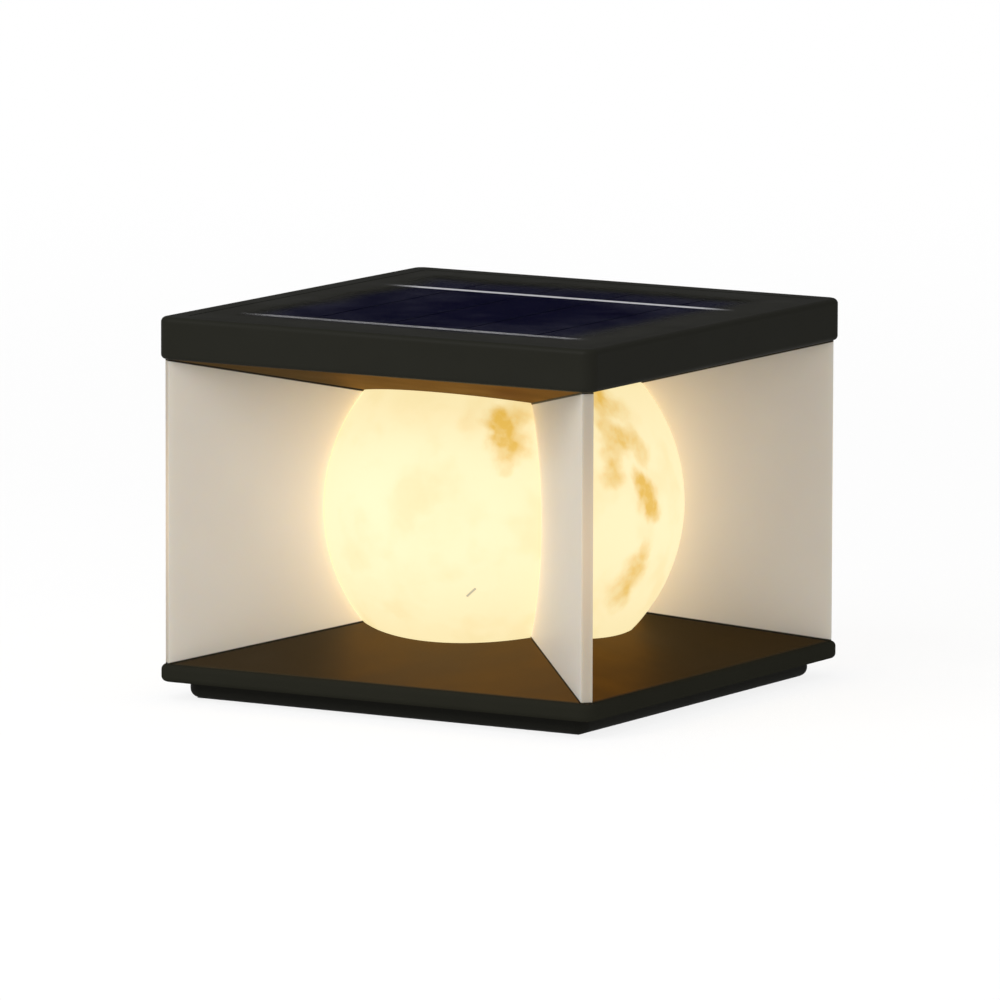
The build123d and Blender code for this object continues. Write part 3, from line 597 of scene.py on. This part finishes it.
def circuit_board(name, mask, track):
    """Solder mask with broken runs of paler track under it."""
    paint = Paint(name, roughness=0.35, specular=0.5)
    along = paint.maths("FRACT", paint.maths("DIVIDE", paint.axis("Y"), TRACK_PITCH))
    lane = paint.maths("LESS_THAN", along, TRACK_WIDTH)
    broken = paint.maths("GREATER_THAN", paint.noise(0.012, detail=1.0), 0.5)
    tracks = paint.maths("MULTIPLY", lane, broken)
    paint.set("Base Color", paint.blend(tracks, mask, track))
    paint.bump(tracks, 0.03 * MM, 0.6)
    return paint.material


def dress_inside():
    """Materials of the pieces inside, and of the fasteners and seals."""
    dress(rubber("black_rubber", (0.018, 0.018, 0.018)), "base_gasket", "cap_gasket", "panel_seal")
    dress(rubber("grommet_rubber", (0.03, 0.03, 0.03)), "lead_grommet", "button_seal")
    dress(rubber("silicone", (0.32, 0.32, 0.31)), "lower_seal", "upper_seal")
    turned = (1.0, 1.0, 0.2)
    drawn = (1.0, 1.0, 0.06)
    ties = ("tie_tube", "tie_washers", "tie_nuts")
    dress(metal("zinc_steel", (0.62, 0.62, 0.58), 0.35, turned), *ties)
    dress(metal("plated_steel", (0.6, 0.6, 0.57), 0.3, turned), "board_screws", "battery_contacts")
    dress(metal("stainless", (0.45, 0.45, 0.44), 0.32, turned), "lock_screws", "cap_screws")
    dress(metal("spring_steel", (0.5, 0.5, 0.5), 0.28, turned), "button_spring")
    dress(metal("raw_aluminium", (0.78, 0.78, 0.8), 0.4, drawn), "led_post")
    dress(circuit_board("white_board", (0.78, 0.78, 0.74), (0.62, 0.62, 0.58)), "led_boards")
    green = circuit_board("green_board", (0.012, 0.10, 0.035), (0.03, 0.19, 0.07))
    dress(green, "controller_board")
    black = circuit_board("panel_fibreglass", (0.004, 0.004, 0.006), (0.008, 0.008, 0.011))
    dress(black, "panel_board")
    dress(moulded("led_phosphor", (0.85, 0.66, 0.16), 0.3), "led_chips")
    nylon = moulded("black_nylon", (0.02, 0.02, 0.021))
    dress(nylon, "board_parts", "battery_holder", "button_nut")
    dress(moulded("button_plastic", (0.026, 0.026, 0.027), 0.42), "button_housing")
    dress(moulded("button_cap_plastic", (0.05, 0.05, 0.048), 0.38), "button_head")
    dress(moulded("plug_plastic", (0.75, 0.74, 0.7)), "lamp_plug")
    dress(moulded("cell_wrap", (0.03, 0.13, 0.30), 0.3), "battery_cells")
    leads = ("lamp_lead", "battery_lead", "panel_lead", "button_lead")
    dress(moulded("lead_sheath", (0.03, 0.03, 0.03), 0.45), *leads)


# ---------------------------------------------------------------- stage, lights and camera
FOCAL_LENGTH = 415.8  # for a sensor 36 mm wide
CAMERA_DISTANCE = 5.7686
CAMERA_HEIGHT = 0.9045
CAMERA_AZIMUTH = 30.83
CAMERA_PITCH = 7.985
CAMERA_ROLL = 0.17
CAMERA_SHIFT = -0.0013


def toward(azimuth, elevation):
    """Unit vector from the lantern, with azimuth 0 at the front and growing to the right."""
    turn = math.radians(azimuth)
    rise = math.radians(elevation)
    across = math.cos(rise)
    return Vector((math.sin(turn) * across, -math.cos(turn) * across, math.sin(rise)))


def camera():
    """Long lens, a little above the lantern, looking at its front right corner."""
    turn = math.radians(CAMERA_AZIMUTH)
    data = bpy.data.cameras.new("camera")
    data.lens = FOCAL_LENGTH
    data.sensor_width = 36.0
    data.shift_x = CAMERA_SHIFT
    data.clip_end = 100.0
    view = bpy.data.objects.new("camera", data)
    view.location = CAMERA_DISTANCE * toward(CAMERA_AZIMUTH, 0) + Vector((0, 0, CAMERA_HEIGHT))
    aim = Matrix.Rotation(turn, 4, "Z") @ Matrix.Rotation(math.radians(90 - CAMERA_PITCH), 4, "X")
    aim = aim @ Matrix.Rotation(math.radians(CAMERA_ROLL), 4, "Z")
    view.rotation_euler = aim.to_euler()
    bpy.context.scene.collection.objects.link(view)
    bpy.context.scene.camera = view


def softbox(name, azimuth, elevation, distance, size, power):
    """Square white area light that faces the middle of the lantern."""
    data = bpy.data.lights.new(name, "AREA")
    data.shape = "SQUARE"
    data.size = size
    data.energy = power
    lamp = bpy.data.objects.new(name, data)
    away = toward(azimuth, elevation)
    aim_at = Vector((0, 0, (cad_box[0][2] + cad_box[1][2]) / 2))
    lamp.location = aim_at + distance * away
    lamp.rotation_euler = away.to_track_quat("Z", "Y").to_euler()
    bpy.context.scene.collection.objects.link(lamp)


GLOW_RADIUS = 80 * MM
GLOW_POWER = 0.12
GLOW_COLOUR = (1.0, 0.48, 0.06)


def glow():
    """Warm light of the lamps inside the globe, which the globe lets through."""
    data = bpy.data.lights.new("glow", "POINT")
    data.shadow_soft_size = GLOW_RADIUS
    data.energy = GLOW_POWER
    data.color = GLOW_COLOUR
    lamp = bpy.data.objects.new("glow", data)
    lamp.location = (0, 0, GLOBE_LEVEL)
    lamp.visible_camera = False
    bpy.context.scene.collection.objects.link(lamp)


def lights():
    """One soft studio light from above the front, and the light of the globe itself."""
    softbox("key", azimuth=-12, elevation=40, distance=2.2, size=1.6, power=17.7)
    glow()


WHITE = (1.0, 1.0, 1.0)
ROOM_LIGHT = 0.58
ROOM_REFLECTION = 0.14
BACKDROP = 1.0


def surroundings():
    """White backdrop for the camera, softer light all round, and dark flags for reflections."""
    world = bpy.data.worlds.new("studio")
    world.use_nodes = True
    bpy.context.scene.world = world
    tree = world.node_tree
    path = tree.nodes.new("ShaderNodeLightPath")
    light = tree.nodes["Background"].outputs[0]
    tree.nodes["Background"].inputs["Strength"].default_value = ROOM_LIGHT
    tree.nodes["Background"].inputs["Color"].default_value = (*WHITE, 1.0)
    for kind, strength in (("Is Glossy Ray", ROOM_REFLECTION), ("Is Camera Ray", BACKDROP)):
        shade = tree.nodes.new("ShaderNodeBackground")
        shade.inputs["Color"].default_value = (*WHITE, 1.0)
        shade.inputs["Strength"].default_value = strength
        mix = tree.nodes.new("ShaderNodeMixShader")
        tree.links.new(path.outputs[kind], mix.inputs[0])
        tree.links.new(light, mix.inputs[1])
        tree.links.new(shade.outputs[0], mix.inputs[2])
        light = mix.outputs[0]
    tree.links.new(light, tree.nodes["World Output"].inputs["Surface"])


FLOOR_RADIUS = 2.4
FLOOR_FADE = 0.45  # the floor starts to melt into the backdrop here
FLOOR_ALPHA = 0.22
FLOOR_LEVEL = -0.2 * MM  # just clear of the gasket
FLOOR_SIDES = 96
FLOOR_SHADES = ((0.90, 0.90, 0.90), (0.93, 0.93, 0.93))
FLOOR_LIGHT = 0.3  # light of its own, so that shadows on it stay faint


def floor():
    """Round pale floor that melts into the backdrop, and is not seen from below."""
    points = [(0.0, 0.0, FLOOR_LEVEL)]
    faces = []
    for side in range(FLOOR_SIDES):
        turn = 2 * math.pi * side / FLOOR_SIDES
        points.append((FLOOR_RADIUS * math.cos(turn), FLOOR_RADIUS * math.sin(turn), FLOOR_LEVEL))
        faces.append((0, 1 + side, 1 + (side + 1) % FLOOR_SIDES))
    mesh = bpy.data.meshes.new("floor")
    mesh.from_pydata(points, [], faces)
    ground = bpy.data.objects.new("floor", mesh)
    bpy.context.scene.collection.objects.link(ground)
    paint = Paint("floor", roughness=0.9, specular=0.1)
    reach = paint.vector("LENGTH", paint.place)
    paint.set("Base Color", paint.blend(paint.noise(0.2), *FLOOR_SHADES))
    paint.set("Emission Color", WHITE)
    paint.set("Emission Strength", FLOOR_LIGHT)
    cover = paint.span(reach, FLOOR_FADE, FLOOR_RADIUS, FLOOR_ALPHA, 0.0, smooth=True)
    below = paint.add("ShaderNodeNewGeometry").outputs["Backfacing"]
    from_above = paint.maths("SUBTRACT", 1.0, below)
    paint.set("Alpha", paint.maths("MULTIPLY", cover, from_above))
    mesh.materials.append(paint.material)


def colour_management():
    """Plain display transform, so that colours are shown as they are."""
    settings = bpy.context.scene.view_settings
    settings.view_transform = "Standard"
    settings.look = "None"
    settings.exposure = 0.0
    settings.gamma = 1.0


camera()
colour_management()
surroundings()
lights()
floor()
moon_globe()
dress(powder_coat("powder_coat", CAP_PAINTED_SHADE), "top_cap")
dress(powder_coat("plinth_coat_painted_shade", PLINTH_PAINTED_SHADE), "base_plinth")
dress(pan_coat_painted_glow(), "floor_plate", "ceiling_plate")
fins()
dress(cell_silicon(), "solar_cells")
dress(ribbon_silver(), "cell_ribbons")
panel_cover()
dress_inside()
